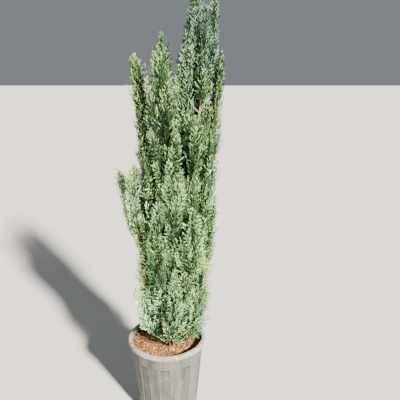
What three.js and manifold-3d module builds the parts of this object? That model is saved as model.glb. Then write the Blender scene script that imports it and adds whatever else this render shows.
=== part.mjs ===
// A columnar Lawson cypress in its nursery container, in millimetres, +Z up, +Y away from the viewer.
// The origin is the centre of the container's flat underside.
// A slim trunk with a flared foot runs up through the crown and leans to the viewer's right. Steep boughs
// leave it, and each carries one upright plume of feathery sprays. The plumes stand in four rings, one
// above another. Above the rings, five leaders stand round the trunk's top.
import * as THREE from "three";
import { mergeVertices } from "three/addons/utils/BufferGeometryUtils.js";
import Module from "manifold-3d";

const wasm = await Module();
wasm.setup();

// Container: a tapered tub with a rolled lip, upright panels and arched drains at its foot
const potHeight = 335;
const potSides = 40;
const lipRadius = 160;
const lipInnerRadius = 146;
const lipHeight = 20;
const lipRound = 4;
const lipStep = 1; // the wall's inner face juts out this far under the lip
const lipFoot = potHeight - lipHeight;
const wallTopRadius = 153;
const wallBaseRadius = 122;
const wallThickness = 5;
const floorThickness = 4;
const footChamfer = 3;
const panelCount = 10;
const panelWidth = 38;
const panelDepth = 2.4;
const panelFoot = 72;
const panelShoulder = 258;
const panelArch = 9; // rise of a panel's shallow round top
const drainWidth = 32;
const drainShoulder = 34;
const drainArch = 16;
const slotWidth = 20;
const slotHeight = 9;

// Potting mix
const clearance = 0.3; // between neighbouring pieces
const mixLevel = 310;
const mixFlatRadius = 62; // flat where the trunk stands, then falling to the wall
const mixFall = 5;
const mixGap = 0.6; // to the container's wall

// Trunk
const footX = 14;
const footY = 2;
const trunkTipHeight = 1640;
const crownTop = 1872;
const trunkLean = 142; // to the viewer's right, over the crown's whole height
const trunkBow = 14;
const trunkFootRadius = 17;
const trunkTipRadius = 3;
const trunkTaper = 0.8; // below 1 it thins faster near the foot
const flareRadius = 9;
const flareHeight = 38;
const trunkSides = 8;
const trunkSteps = 12;
const trunkCrowding = 1.8; // above 1 its steps are shorter near the foot

// The middle line of the crown leans less than the trunk does
const crownFoot = 18;
const crownLean = 0.05; // millimetres sideways for each millimetre up

// Boughs
const boughRootRadius = 5.5;
const boughTipRadius = 3;
const boughRise = 0.62; // share of a bough's height that its bend lies under
const boughHeading = 0.35; // weight of a bough's own direction where its plume begins
const boughSteps = 3;
const limbSides = 5;

// Plumes: the axis sets out straight, for this share of a plume's height, before it bends to the tip
const plumeLift = 0.4;
const fullShare = 0.3; // share of the axis at which a plume is widest
const footSpread = 0.5; // share of that width at its foot
const splayedFootSpread = 1;
const tipBluntness = 1.7;
const tipFullness = 0.8;
const leastSpread = 4;
const bearingJitter = 6;
const footJitter = 20;
const stemOverlap = 1; // by which a leader's core starts inside its own stem

// Core and sprays: the sprays leave a plume's core by the golden angle
const goldenAngle = 137.508;
const coreSteps = 5;
const coreShare = 0.36; // of a plume's own radius
const coreStart = 0.04; // share of the axis that stays a bare stem
const coreSwelling = 0.16; // share in which the core then reaches its full radius
const rootShare = 0.4; // of the core's radius, where the sprays are rooted
const stemTipRadius = 1.2;
const lowestSpray = 0.07;
const highestSpray = 0.9;
const lowSprayAngle = 34; // from the plume's axis
const highSprayAngle = 15;
const sprayLead = 0.1; // how far up its plume a spray's tip lies above its root
const rollRange = 1.2; // radians by which a spray turns out of the upright plane
const sprayMiddle = 0.55; // share of its length
const sprayThickness = 4;

// A spray that doesn't fit is turned this often, then shortened by a step and turned again
const turns = 5;
const sizes = 3;
const shrinkStep = 0.16;
const spaceLimit = 1.02; // of a plume's radius
const spaceGap = 0.7; // to what is built already
const axisSamples = 24;

// The toothed outline of a spray: shares of its length, along it and across it. Every point can be seen
// from the spray's middle.
const sprayOutline = [
  [0, 0],
  [0.34, -0.28],
  [0.5, -0.13],
  [0.72, -0.27],
  [1, 0],
  [0.76, 0.26],
  [0.6, 0.13],
  [0.44, 0.32],
  [0.3, 0.1],
];

// Rings of plumes on boughs. root is where the first bough leaves the trunk, and its neighbours leave it
// whorl higher. foot and tips are the heights of the plumes' own ends, and near and far their distances
// from the crown's middle line. first is the first plume's bearing in degrees: 0 is the viewer's right,
// -90 is towards the viewer. splay opens the angle of the lowest sprays, which lie over the potting mix.
const rings = [
  {
    ...{ name: "skirt", first: -88, whorl: 3, root: 319, splay: 34, sprays: 12 },
    ...{ foot: 335, near: 70, far: 110, radius: 71, tips: [700, 770, 740, 690, 775, 715] },
  },
  {
    ...{ name: "lower", first: -118, whorl: 20, root: 372, splay: 0, sprays: 9 },
    ...{ foot: 560, near: 92, far: 128, radius: 63, tips: [990, 1050, 1030, 980, 1060, 1010] },
  },
  {
    ...{ name: "middle", first: -88, whorl: 20, root: 600, splay: 0, sprays: 9 },
    ...{ foot: 770, near: 92, far: 130, radius: 63, tips: [1260, 1225, 1300, 1240, 1290, 1270] },
  },
  {
    ...{ name: "upper", first: -120, whorl: 20, root: 840, splay: 0, sprays: 9 },
    ...{ foot: 1010, near: 86, far: 138, radius: 61, tips: [1540, 1285, 1495, 1450, 1505, 1465] },
  },
];

// Two slim plumes on boughs of their own, which stand apart at the crown's left edge
const outliers = [
  { name: "outlier_low", bearing: 175, root: 520, foot: 820, tip: 1052, near: 150, far: 232, radius: 31 },
  { name: "outlier_high", bearing: 196, root: 575, foot: 850, tip: 1080, near: 158, far: 168, radius: 31 },
];

// Leaders are measured from the trunk's own line. The top one stands on the trunk's tip, and the others
// have their stem in one piece with them.
const leaders = [
  { name: "leader_top", bearing: 20, root: 1640, foot: 1640, tip: 1872, near: 0, far: 0, radius: 34 },
  { name: "leader_left", bearing: 190, root: 1150, foot: 1215, tip: 1740, near: 34, far: 34, radius: 35 },
  { name: "leader_right", bearing: 4, root: 1180, foot: 1240, tip: 1780, near: 36, far: 42, radius: 35 },
  { name: "leader_front", bearing: -58, root: 1150, foot: 1290, tip: 1640, near: 44, far: 38, radius: 38 },
  { name: "leader_back", bearing: 84, root: 1135, foot: 1200, tip: 1690, near: 36, far: 32, radius: 38 },
];

const degrees = Math.PI / 180;
const up = new THREE.Vector3(0, 0, 1);
const back = new THREE.Vector3(0, 1, 0);

// Numbers from 0 to 1, the same ones each time for one seed
function seeded(seed) {
  let state = 7919 * seed + 101;
  const next = () => {
    state = (state * 48271) % 2147483647;
    return state / 2147483647;
  };
  next();
  next();
  return next;
}

// From -1 to 1
function either(random) {
  return 2 * random() - 1;
}

function trunkPoint(height) {
  const share = (height - mixLevel) / (crownTop - mixLevel);
  const sideways = trunkLean * share + trunkBow * Math.sin(Math.PI * share);
  return new THREE.Vector3(footX + sideways, footY, height);
}

function trunkRadius(height) {
  const share = (height - mixLevel) / (trunkTipHeight - mixLevel);
  const flare = flareRadius * Math.exp(-(height - mixLevel) / flareHeight);
  return THREE.MathUtils.lerp(trunkFootRadius, trunkTipRadius, Math.pow(share, trunkTaper)) + flare;
}

function crownMiddle(height) {
  return new THREE.Vector3(crownFoot + crownLean * (height - mixLevel), 0, height);
}

function outward(bearing) {
  return new THREE.Vector3(Math.cos(bearing * degrees), Math.sin(bearing * degrees), 0);
}

// The level direction square to a curve that runs along the given one
function squareTo(along) {
  return back.clone().addScaledVector(along, -along.y).normalize();
}

function solidOf(geometry) {
  const bare = geometry.clone();
  bare.deleteAttribute("normal");
  bare.deleteAttribute("uv");
  const merged = mergeVertices(bare, 1e-4);
  const vertProperties = merged.attributes.position.array;
  const triVerts = new Uint32Array(merged.index.array);
  return new wasm.Manifold(new wasm.Mesh({ numProp: 3, vertProperties, triVerts }));
}

function geometryOf(solid) {
  const mesh = solid.getMesh();
  const geometry = new THREE.BufferGeometry();
  geometry.setAttribute("position", new THREE.BufferAttribute(mesh.vertProperties, 3));
  geometry.setIndex(new THREE.BufferAttribute(mesh.triVerts, 1));
  geometry.computeVertexNormals();
  return geometry;
}

// A round limb along a curve, with its radius given at each share of the length
function limb(curve, radiusAt, sides, steps, crowding = 1) {
  const geometry = new THREE.CylinderGeometry(1, 1, 1, sides, steps);
  const position = geometry.attributes.position;
  for (let i = 0; i < position.count; i++) {
    const share = Math.pow(position.getY(i) + 0.5, crowding);
    const centre = curve.getPoint(share);
    const along = curve.getTangent(share);
    const across = squareTo(along);
    const third = new THREE.Vector3().crossVectors(across, along);
    const radius = radiusAt(share);
    centre.addScaledVector(across, radius * position.getX(i));
    centre.addScaledVector(third, radius * position.getZ(i));
    position.setXYZ(i, centre.x, centre.y, centre.z);
  }
  return solidOf(geometry);
}

class TrunkCurve extends THREE.Curve {
  getPoint(share) {
    return trunkPoint(THREE.MathUtils.lerp(mixLevel + clearance, trunkTipHeight, share));
  }

  // level at the ground, so that the cut there is flat
  getTangent(share) {
    return share === 0 ? up.clone() : super.getTangent(share);
  }
}

// extra thickens the trunk all round, for cutting its neighbours clear of it
function makeTrunk(extra) {
  const heightAt = (share) => THREE.MathUtils.lerp(mixLevel, trunkTipHeight, share);
  const radiusAt = (share) => trunkRadius(heightAt(share)) + extra;
  return limb(new TrunkCurve(), radiusAt, trunkSides, trunkSteps, trunkCrowding);
}

function makeBough(plume, extra) {
  const radiusAt = (share) => THREE.MathUtils.lerp(boughRootRadius, boughTipRadius, share) + extra;
  return limb(plume.bough, radiusAt, limbSides, boughSteps);
}

// A plume's radius at each share of its axis: widest a third of the way up, then drawn out to a point
function spread(plume, share) {
  if (share < fullShare) {
    const low = plume.splay > 0 ? splayedFootSpread : footSpread;
    const filled = Math.sin((Math.PI / 2) * (share / fullShare));
    return plume.radius * THREE.MathUtils.lerp(low, 1, filled);
  }
  const drawnOut = Math.pow((share - fullShare) / (1 - fullShare), tipBluntness);
  return plume.radius * Math.pow(1 - drawnOut, tipFullness);
}

// Adds the curves of a plume's bough and of its own axis, which share one direction where they meet
function grow(plume, middle) {
  const away = outward(plume.bearing);
  const root = trunkPoint(plume.root);
  const foot = middle(plume.foot).addScaledVector(away, plume.near);
  const tip = middle(plume.tip).addScaledVector(away, plume.far);
  const heading = tip.clone().sub(foot).normalize();
  heading.addScaledVector(foot.clone().sub(root).normalize(), boughHeading).normalize();
  const bend = foot.clone().addScaledVector(heading, -boughRise * (plume.foot - plume.root));
  const start = foot.clone().addScaledVector(heading, plume.stemmed ? -stemOverlap : clearance);
  const lift = start.clone().addScaledVector(heading, plumeLift * (plume.tip - plume.foot));
  return {
    ...plume,
    bough: new THREE.QuadraticBezierCurve3(root, bend, foot),
    axis: new THREE.QuadraticBezierCurve3(start, lift, tip),
  };
}

function layOut() {
  const plumes = [];
  for (const ring of rings) {
    ring.tips.forEach((tip, i) => {
      const random = seeded(plumes.length);
      const bearing = ring.first + (360 / ring.tips.length) * i + bearingJitter * either(random);
      const foot = ring.foot + (ring.splay > 0 ? 0 : footJitter * either(random));
      const root = ring.root + ring.whorl * (i % 3);
      const name = `${ring.name}_${i + 1}`;
      plumes.push(grow({ ...ring, name, bearing, root, foot, tip, boughed: true }, crownMiddle));
    });
  }
  for (const outlier of outliers) {
    plumes.push(grow({ ...outlier, splay: 0, sprays: 9, boughed: true }, crownMiddle));
  }
  for (const leader of leaders) {
    const stemmed = leader.foot > leader.root;
    plumes.push(grow({ ...leader, splay: 0, sprays: 9, stemmed }, trunkPoint));
  }
  return plumes;
}

// How far out a point lies from a plume's axis, as a share of the plume's radius there
function shareOut(plume, point) {
  let least = Infinity;
  for (let i = 0; i <= axisSamples; i++) {
    const share = i / axisSamples;
    const away = plume.axis.getPoint(share).distanceTo(point);
    least = Math.min(least, away / Math.max(spread(plume, share), leastSpread));
  }
  return least;
}

function keepsToItsSpace(plume, point, plumes) {
  const own = shareOut(plume, point);
  if (own > spaceLimit) {
    return false;
  }
  return plumes.every((other) => other === plume || shareOut(other, point) > own);
}

function sprayPoints(spray) {
  return sprayOutline.map(([far, across]) => {
    const point = spray.root.clone().addScaledVector(spray.along, far * spray.reach);
    return point.addScaledVector(spray.side, across * spray.reach);
  });
}

// A spray is thickest in its middle, where extra thickens it more, and thins out to its toothed edge
function makeSpray(spray, extra) {
  const outline = sprayPoints(spray);
  const normal = new THREE.Vector3().crossVectors(spray.along, spray.side);
  const middle = spray.root.clone().addScaledVector(spray.along, sprayMiddle * spray.reach);
  const upper = middle.clone().addScaledVector(normal, sprayThickness / 2 + extra);
  const lower = middle.clone().addScaledVector(normal, -sprayThickness / 2 - extra);
  const points = [];
  outline.forEach((point, i) => {
    const next = outline[(i + 1) % outline.length];
    points.push(upper, point, next, lower, next, point);
  });
  return solidOf(new THREE.BufferGeometry().setFromPoints(points));
}

// The radius of a plume's core, which is a bare stem at its foot
function coreRadius(plume, share) {
  const swelling = THREE.MathUtils.clamp((share - coreStart) / coreSwelling, 0, 1);
  const stem = THREE.MathUtils.lerp(boughTipRadius, stemTipRadius, share);
  return Math.max(stem, coreShare * swelling * spread(plume, share));
}

// A plume: a slim core round its stem, and sprays that leave it by the golden angle. A spray that would
// leave the plume's space or touch what is built already is turned, then shortened, and at last skipped.
function makePlume(plume, plumes, built) {
  const random = seeded(100 + plumes.indexOf(plume));
  let solid = limb(plume.axis, (share) => coreRadius(plume, share), limbSides, coreSteps);
  for (let station = 0; station < plume.sprays; station++) {
    const rise = (highestSpray - lowestSpray) / plume.sprays;
    const share = lowestSpray + rise * (station + 0.5 * random());
    const angle = THREE.MathUtils.lerp(lowSprayAngle + plume.splay, highSprayAngle, share) * degrees;
    const along = plume.axis.getTangent(share);
    const inside = rootShare * coreRadius(plume, share);
    const full = (spread(plume, Math.min(1, share + sprayLead)) - inside) / Math.sin(angle);
    const roll = rollRange * either(random);
    for (let attempt = 0; attempt < turns * sizes; attempt++) {
      const turn = (goldenAngle * (station + (attempt % turns) / turns) + plume.bearing) * degrees;
      const out = squareTo(along).applyAxisAngle(along, turn);
      const heading = along.clone().multiplyScalar(Math.cos(angle)).addScaledVector(out, Math.sin(angle));
      const spray = {
        root: plume.axis.getPoint(share).addScaledVector(out, inside),
        along: heading,
        side: out.clone().addScaledVector(heading, -Math.sin(angle)).normalize(),
        reach: full * (1 - shrinkStep * Math.floor(attempt / turns)),
      };
      spray.side.applyAxisAngle(heading, roll);
      if (!sprayPoints(spray).every((point) => keepsToItsSpace(plume, point, plumes))) {
        continue;
      }
      const thick = makeSpray(spray, spaceGap);
      if (built.some((other) => !thick.intersect(other).isEmpty())) {
        continue;
      }
      solid = solid.add(makeSpray(spray, 0));
      break;
    }
  }
  return solid;
}

// A lathe round the Z axis from points of radius and height, which run from the axis back to it
function turned(points) {
  const profile = points.map(([radius, height]) => new THREE.Vector2(radius, height));
  const geometry = new THREE.LatheGeometry(profile, potSides);
  geometry.rotateX(Math.PI / 2);
  return solidOf(geometry);
}

function wallRadius(height) {
  return THREE.MathUtils.lerp(wallBaseRadius, wallTopRadius, height / potHeight);
}

function innerRadius(height) {
  const share = (height - floorThickness) / (lipFoot - floorThickness);
  const foot = wallRadius(floorThickness) - wallThickness;
  return THREE.MathUtils.lerp(foot, lipInnerRadius - lipStep, share);
}

// A block that stands on the height given as its foot and points outward along the bearing. Its top is
// round where it has a rise, and else flat.
function archBlock(bearing, width, foot, shoulder, rise) {
  const shape = new THREE.Shape();
  shape.moveTo(-width / 2, foot);
  shape.lineTo(width / 2, foot);
  shape.lineTo(width / 2, shoulder);
  if (rise > 0) {
    shape.absellipse(0, shoulder, width / 2, rise, 0, Math.PI, false);
  } else {
    shape.lineTo(-width / 2, shoulder);
  }
  shape.closePath();
  const geometry = new THREE.ExtrudeGeometry(shape, {
    depth: 2 * lipRadius,
    bevelEnabled: false,
    curveSegments: 4,
  });
  geometry.rotateX(Math.PI / 2);
  geometry.rotateZ((bearing + 90) * degrees);
  return solidOf(geometry);
}

function makePot() {
  let pot = turned([
    [0, 0],
    [wallRadius(0) - footChamfer, 0],
    [wallRadius(footChamfer), footChamfer],
    [wallRadius(lipFoot), lipFoot],
    [lipRadius, lipFoot + lipRound],
    [lipRadius, potHeight - lipRound],
    [lipRadius - lipRound, potHeight],
    [lipInnerRadius + lipRound / 2, potHeight],
    [lipInnerRadius, potHeight - lipRound],
    [innerRadius(lipFoot), lipFoot],
    [innerRadius(floorThickness), floorThickness],
    [0, floorThickness],
  ]);
  const behindPanels = turned([
    [0, -1],
    [wallRadius(-1) - panelDepth, -1],
    [wallRadius(lipFoot) - panelDepth, lipFoot],
    [0, lipFoot],
  ]);
  for (let i = 0; i < panelCount; i++) {
    const bearing = (360 / panelCount) * (i + 0.5);
    const panel = archBlock(bearing, panelWidth, panelFoot, panelShoulder, panelArch);
    pot = pot.subtract(panel.subtract(behindPanels));
    if (i % 2 === 0) {
      const drain = archBlock(bearing, drainWidth, 0, drainShoulder, drainArch);
      const slot = archBlock(bearing, slotWidth, floorThickness, slotHeight, 0);
      pot = pot.subtract(drain.subtract(behindPanels)).subtract(slot);
    }
  }
  return pot;
}

function makeMix() {
  const foot = floorThickness + clearance;
  const edge = mixLevel - mixFall;
  return turned([
    [0, foot],
    [innerRadius(foot) - mixGap, foot],
    [innerRadius(edge) - mixGap, edge],
    [mixFlatRadius, mixLevel],
    [0, mixLevel],
  ]);
}

const materials = {
  pot: new THREE.MeshStandardMaterial({ color: "#b2afa7", roughness: 0.75 }),
  mix: new THREE.MeshStandardMaterial({ color: "#8f6547", roughness: 1 }),
  bark: new THREE.MeshStandardMaterial({ color: "#7a5f4b", roughness: 0.9 }),
  foliage: new THREE.MeshStandardMaterial({ color: "#6f8f5f", roughness: 0.8 }),
};

const tree = new THREE.Group();

function place(name, solid, material) {
  const mesh = new THREE.Mesh(geometryOf(solid), material);
  mesh.name = name;
  tree.add(mesh);
}

const pot = makePot();
const mix = makeMix();
const trunk = makeTrunk(0);
place("pot", pot, materials.pot);
place("potting_mix", mix, materials.mix);
place("trunk", trunk, materials.bark);

const plumes = layOut();
const aroundTrunk = makeTrunk(clearance);
const built = [pot, mix, trunk];
const aroundBoughs = new Map();
for (const plume of plumes) {
  if (plume.boughed || plume.stemmed) {
    aroundBoughs.set(plume, makeBough(plume, 2 * clearance));
  }
  if (plume.boughed) {
    const bough = makeBough(plume, 0).subtract(aroundTrunk);
    built.push(bough);
    place(`bough_${plume.name}`, bough, materials.bark);
  }
}
for (const plume of plumes) {
  let solid = makePlume(plume, plumes, built);
  if (plume.stemmed) {
    solid = solid.add(makeBough(plume, 0));
  }
  solid = solid.subtract(aroundTrunk);
  for (const [owner, around] of aroundBoughs) {
    if (owner !== plume && !solid.intersect(around).isEmpty()) {
      solid = solid.subtract(around);
    }
  }
  const largest = solid.decompose().reduce((a, b) => (a.volume() > b.volume() ? a : b));
  built.push(largest);
  place(`plume_${plume.name}`, largest, materials.foliage);
}

export default tree;
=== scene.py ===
# A columnar Lawson cypress in its nursery container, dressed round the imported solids.
# The sections follow the plant as a nursery puts it together: container, potting mix, trunk and boughs,
# then the foliage. Lengths are in metres, in the solids' own frame: +Z up, +Y away from the viewer.
import math

import bmesh
import bpy
import numpy as np
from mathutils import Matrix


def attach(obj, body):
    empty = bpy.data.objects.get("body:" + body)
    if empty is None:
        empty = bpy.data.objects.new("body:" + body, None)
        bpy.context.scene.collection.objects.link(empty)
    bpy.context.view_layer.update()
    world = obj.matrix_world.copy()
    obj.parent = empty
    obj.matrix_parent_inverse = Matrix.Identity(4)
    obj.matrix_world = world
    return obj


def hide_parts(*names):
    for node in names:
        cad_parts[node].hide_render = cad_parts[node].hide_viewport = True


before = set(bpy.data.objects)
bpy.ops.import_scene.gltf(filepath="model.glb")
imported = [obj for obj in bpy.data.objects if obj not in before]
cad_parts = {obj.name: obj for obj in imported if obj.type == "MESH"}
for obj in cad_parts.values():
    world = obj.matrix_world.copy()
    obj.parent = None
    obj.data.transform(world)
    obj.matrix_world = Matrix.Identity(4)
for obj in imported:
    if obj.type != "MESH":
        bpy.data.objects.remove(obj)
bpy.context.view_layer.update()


# The view: from 1.8 m in front and a little to the right, at chest height, tilted down on the container.
# Its place, tilt and lens were solved from the container's taper and from the ellipse of its lip.
view_place = (0.139, -1.805, 1.482)
view_tilt = 17.02  # degrees under level
view_lens = 44.1  # mm
view_sensor = 36  # mm

camera = bpy.data.objects.new("camera", bpy.data.cameras.new("camera"))
camera.data.sensor_width = view_sensor
camera.data.lens = view_lens
camera.location = view_place
camera.rotation_euler = (math.radians(90 - view_tilt), 0, 0)
bpy.context.scene.collection.objects.link(camera)
bpy.context.scene.camera = camera


# The studio: a plain pale floor, a broad warm key light from the front right, a weak fill from the left,
# and an even pale surround.
half_floor = 20.0
floor_level = -0.0005  # just under the container
key_towards = (-2.9, 4.2, -3.0)
key_spread = 5.0  # degrees
key_power = 18.4
fill_towards = (3.0, 2.6, -1.2)
fill_spread = 40.0
fill_power = 0.2
surround_strength = 0.28


def linear(text):
    """The linear red, green, blue and alpha of a colour written as six hexadecimal digits."""
    shares = [int(text[i : i + 2], 16) / 255 for i in (0, 2, 4)]
    return (*[c / 12.92 if c <= 0.04045 else ((c + 0.055) / 1.055) ** 2.4 for c in shares], 1.0)


class Shade:
    """A value or colour in a material. Arithmetic on it adds Math nodes."""

    def __init__(self, tree, socket=None):
        self.tree = tree
        self.socket = socket

    def node(self, kind, settings=None, inputs=None, output=0):
        """Adds any other node: its settings first, then the values or links of its sockets."""
        made = self.tree.nodes.new("ShaderNode" + kind)
        for name, value in (settings or {}).items():
            setattr(made, name, value)
        for name, value in (inputs or {}).items():
            if isinstance(value, Shade):
                self.tree.links.new(value.socket, made.inputs[name])
            else:
                made.inputs[name].default_value = value
        return Shade(self.tree, made.outputs[output] if made.outputs else None)

    def math(self, operation, *values):
        return self.node("Math", {"operation": operation}, dict(enumerate(values)))

    def __add__(self, other):
        return self.math("ADD", self, other)

    __radd__ = __add__

    def __sub__(self, other):
        return self.math("SUBTRACT", self, other)

    def __rsub__(self, other):
        return self.math("SUBTRACT", other, self)

    def __mul__(self, other):
        return self.math("MULTIPLY", self, other)

    __rmul__ = __mul__

    def __truediv__(self, other):
        return self.math("DIVIDE", self, other)

    def between(self, low, high):
        """0 where the value is low, 1 where it is high, with a soft step in between."""
        soft = {"interpolation_type": "SMOOTHSTEP"}
        return self.node("MapRange", soft, {"Value": self, "From Min": low, "From Max": high})

    def mixed(self, first, second):
        """first where this mask is 0 and second where it is 1. Both are colours."""
        return self.node("Mix", {"data_type": "RGBA"}, {0: self, 6: first, 7: second}, output=2)

    def stretched(self, along_x, along_y, along_z):
        steps = (along_x, along_y, along_z)
        return self.node("VectorMath", {"operation": "MULTIPLY"}, {0: self, 1: steps})

    def noise(self, scale, detail=3.0, roughness=0.55):
        """Cloudy noise on this vector, about 0.5 on average."""
        sockets = {"Vector": self, "Scale": scale, "Detail": detail, "Roughness": roughness}
        return self.node("TexNoise", None, sockets)


def new_material(name):
    material = bpy.data.materials.new(name)
    material.use_nodes = True
    material.node_tree.nodes.clear()
    return material, Shade(material.node_tree)


def surface(shade, sockets):
    """Ends a material with one shader that has these values or links on its sockets."""
    shader = shade.node("BsdfPrincipled", None, sockets)
    shade.node("OutputMaterial", None, {"Surface": shader})


def plain_material(name, tint, roughness, gloss=0.5):
    """A material that has one colour all over."""
    material, shade = new_material(name)
    surface(shade, {"Base Color": linear(tint), "Roughness": roughness, "Specular IOR Level": gloss})
    return material


def layered(colour, layers):
    """Lays tints over a colour, one after the other, each where its own mask is 1."""
    for mask, tint in layers:
        colour = mask.mixed(colour, linear(tint))
    return colour


floor_mesh = bpy.data.meshes.new("floor")
corners = [(half_floor * x, half_floor * y, floor_level) for x, y in ((-1, -1), (1, -1), (1, 1), (-1, 1))]
floor_mesh.from_pydata(corners, [], [(0, 1, 2, 3)])
floor_mesh.materials.append(plain_material("pale_floor", "d8d6d2", 0.9, 0.2))
floor = bpy.data.objects.new("floor", floor_mesh)
bpy.context.scene.collection.objects.link(floor)


def add_light(name, towards, spread, power, colour):
    light = bpy.data.lights.new(name, "SUN")
    light.angle = math.radians(spread)
    light.energy = power
    light.color = linear(colour)[:3]
    lamp = bpy.data.objects.new(name, light)
    flat = math.hypot(towards[0], towards[1])
    lamp.rotation_euler = (math.atan2(flat, -towards[2]), 0, math.atan2(-towards[0], towards[1]))
    bpy.context.scene.collection.objects.link(lamp)


add_light("key", key_towards, key_spread, key_power, "fff6ea")
add_light("fill", fill_towards, fill_spread, fill_power, "e4eeff")
world = bpy.data.worlds.new("surround")
world.use_nodes = True
world.node_tree.nodes["Background"].inputs["Color"].default_value = linear("e6ecf2")
world.node_tree.nodes["Background"].inputs["Strength"].default_value = surround_strength
bpy.context.scene.world = world


# The container: a nursery tub moulded in one piece from thin polypropylene, once darker and now bleached
# warm grey by the sun. It has a rolled lip, ten upright panels framed by beads, and five arched drains at
# its foot with a slot each.
tub_height = 0.335
lip_radius = 0.160
lip_inner_radius = 0.146
lip_foot = 0.315
wall_top_radius = 0.153
wall_base_radius = 0.122
wall_thickness = 0.005
floor_thickness = 0.004
floor_ring = 0.06  # radius of a row of points on the floor, under and over it
foot_bevel = 0.003
lip_ledge = 0.001  # from the wall's inner side to the lip's
inner_rows_top = 0.30
panel_count = 10
panel_width = 0.038
panel_depth = 0.0024
panel_foot = 0.072
panel_shoulder = 0.258
panel_arch = 0.009
panel_slope = (-0.0003, 0.0010)  # from outside to inside the edge, where the wall turns in
drain_width = 0.032
drain_foot = -0.02  # under the container, so that the arch has no sill
drain_shoulder = 0.034
drain_arch = 0.016
slot_width = 0.020
slot_levels = (floor_thickness + 0.0004, 0.009)
slot_reach = (0.108, 0.135)  # from the container's middle
bead_height = 0.0006
bead_width = 0.0013
bead_offset = 0.0024  # outside the panel's edge
tub_columns = 720
# From, to and step of the wall's rows, closest where the arches and the panels' ends are
wall_bands = (
    (0.003, 0.056, 0.0016),
    (0.058, 0.068, 0.004),
    (0.0695, 0.077, 0.0012),
    (0.080, 0.250, 0.010),
    (0.253, 0.272, 0.0013),
    (0.276, 0.314, 0.006),
)
# The lip's three rounds: radius and height of the middle, size, first and last angle, and points
lip_rounds = (
    (lip_radius - 0.003, lip_foot + 0.004, 0.003, -80, 0, 6),
    (lip_radius - 0.004, tub_height - 0.004, 0.004, 0, 90, 7),
    (lip_inner_radius + 0.003, tub_height - 0.003, 0.003, 90, 180, 6),
)


def soft_step(low, high, value):
    share = np.clip((value - low) / (high - low), 0, 1)
    return share * share * (3 - 2 * share)


def wall_radius(height):
    return wall_base_radius + (wall_top_radius - wall_base_radius) * height / tub_height


def inner_radius(height):
    share = (height - floor_thickness) / (lip_foot - floor_thickness)
    foot = wall_radius(floor_thickness) - wall_thickness
    return foot + (lip_inner_radius - lip_ledge - foot) * share


def ring_faces(rows, columns):
    """Four-cornered faces between rows of points, each of which closes to a ring."""
    row, column = np.meshgrid(np.arange(rows - 1), np.arange(columns), indexing="ij")
    following = (column + 1) % columns
    corners = [row * columns + column, row * columns + following]
    corners += [(row + 1) * columns + following, (row + 1) * columns + column]
    return np.stack(corners, axis=2).reshape(-1, 4)


def lathe(rows, columns):
    """Points and faces of rows of radius and height, turned round the Z axis."""
    turn = np.linspace(0, 2 * math.pi, columns, endpoint=False)
    radii, heights = np.array(rows, dtype=float).T[:, :, None]
    points = np.stack([radii * np.cos(turn), radii * np.sin(turn), heights + 0 * turn], axis=2)
    return points.reshape(-1, 3), ring_faces(len(rows), columns)


def piece(name, points, faces, materials, material_of_face=None, smooth=False):
    """A piece of the plant from arrays of points and faces. It moves with the plant's one body."""
    mesh = bpy.data.meshes.new(name)
    mesh.from_pydata(np.asarray(points).tolist(), [], np.asarray(faces).tolist())
    for material in materials:
        mesh.materials.append(material)
    if material_of_face is not None:
        mesh.polygons.foreach_set("material_index", np.asarray(material_of_face, dtype=np.int32))
    mesh.polygons.foreach_set("use_smooth", np.full(len(mesh.polygons), smooth))
    mesh.update()
    made = bpy.data.objects.new(name, mesh)
    bpy.context.scene.collection.objects.link(made)
    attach(made, "root")
    return made


def arch_depth(points, bearing, width, foot, shoulder, rise):
    """How far each point of the wall lies inside an arched panel, in metres; below 0 it is outside."""
    angle = np.arctan2(points[:, 1], points[:, 0]) - math.radians(bearing)
    angle = (angle + math.pi) % (2 * math.pi) - math.pi
    sideways = np.abs(angle) * np.hypot(points[:, 0], points[:, 1])
    share = np.clip(sideways / (width / 2), 0, 1)
    top = shoulder + rise * np.sqrt(1 - share * share)
    return np.minimum.reduce([width / 2 - sideways, points[:, 2] - foot, top - points[:, 2]])


def rounded(middle_radius, middle_height, size, start, end, steps):
    """Rows of radius and height along an arc between two angles in degrees."""
    turns = np.radians(np.linspace(start, end, steps))
    return [(middle_radius + size * math.cos(t), middle_height + size * math.sin(t)) for t in turns]


wall_heights = np.concatenate([np.arange(*band) for band in wall_bands])
tub_rows = [(0, 0), (floor_ring, 0), (wall_radius(0) - foot_bevel, 0)]
rows_under_wall = len(tub_rows)
tub_rows += [(wall_radius(height), height) for height in wall_heights]
tub_rows += [(wall_radius(lip_foot), lip_foot)]
for lip_round in lip_rounds:
    tub_rows += rounded(*lip_round)
tub_rows += [(inner_radius(lip_foot), lip_foot)]
tub_rows += [(inner_radius(height), height) for height in np.linspace(inner_rows_top, floor_thickness, 8)]
tub_rows += [(floor_ring, floor_thickness), (0, floor_thickness)]
tub_points, tub_faces = lathe(tub_rows, tub_columns)

row_of_point = np.arange(len(tub_points)) // tub_columns - rows_under_wall
on_wall = (row_of_point >= 0) & (row_of_point < len(wall_heights))
wall_points = tub_points[on_wall]
pushed_in = np.zeros(len(wall_points))
for i in range(panel_count):
    bearing = 360 / panel_count * (i + 0.5)
    arches = [(panel_width, panel_foot, panel_shoulder, panel_arch)]
    if i % 2 == 0:
        arches.append((drain_width, drain_foot, drain_shoulder, drain_arch))
    for width, foot, shoulder, rise in arches:
        depth = arch_depth(wall_points, bearing, width, foot, shoulder, rise)
        pushed_in += panel_depth * soft_step(*panel_slope, depth)
        pushed_in -= bead_height * np.exp(-(((depth + bead_offset) / bead_width) ** 2))
shrink = 1 - pushed_in / np.hypot(wall_points[:, 0], wall_points[:, 1])
tub_points[on_wall, :2] *= shrink[:, None]

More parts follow.
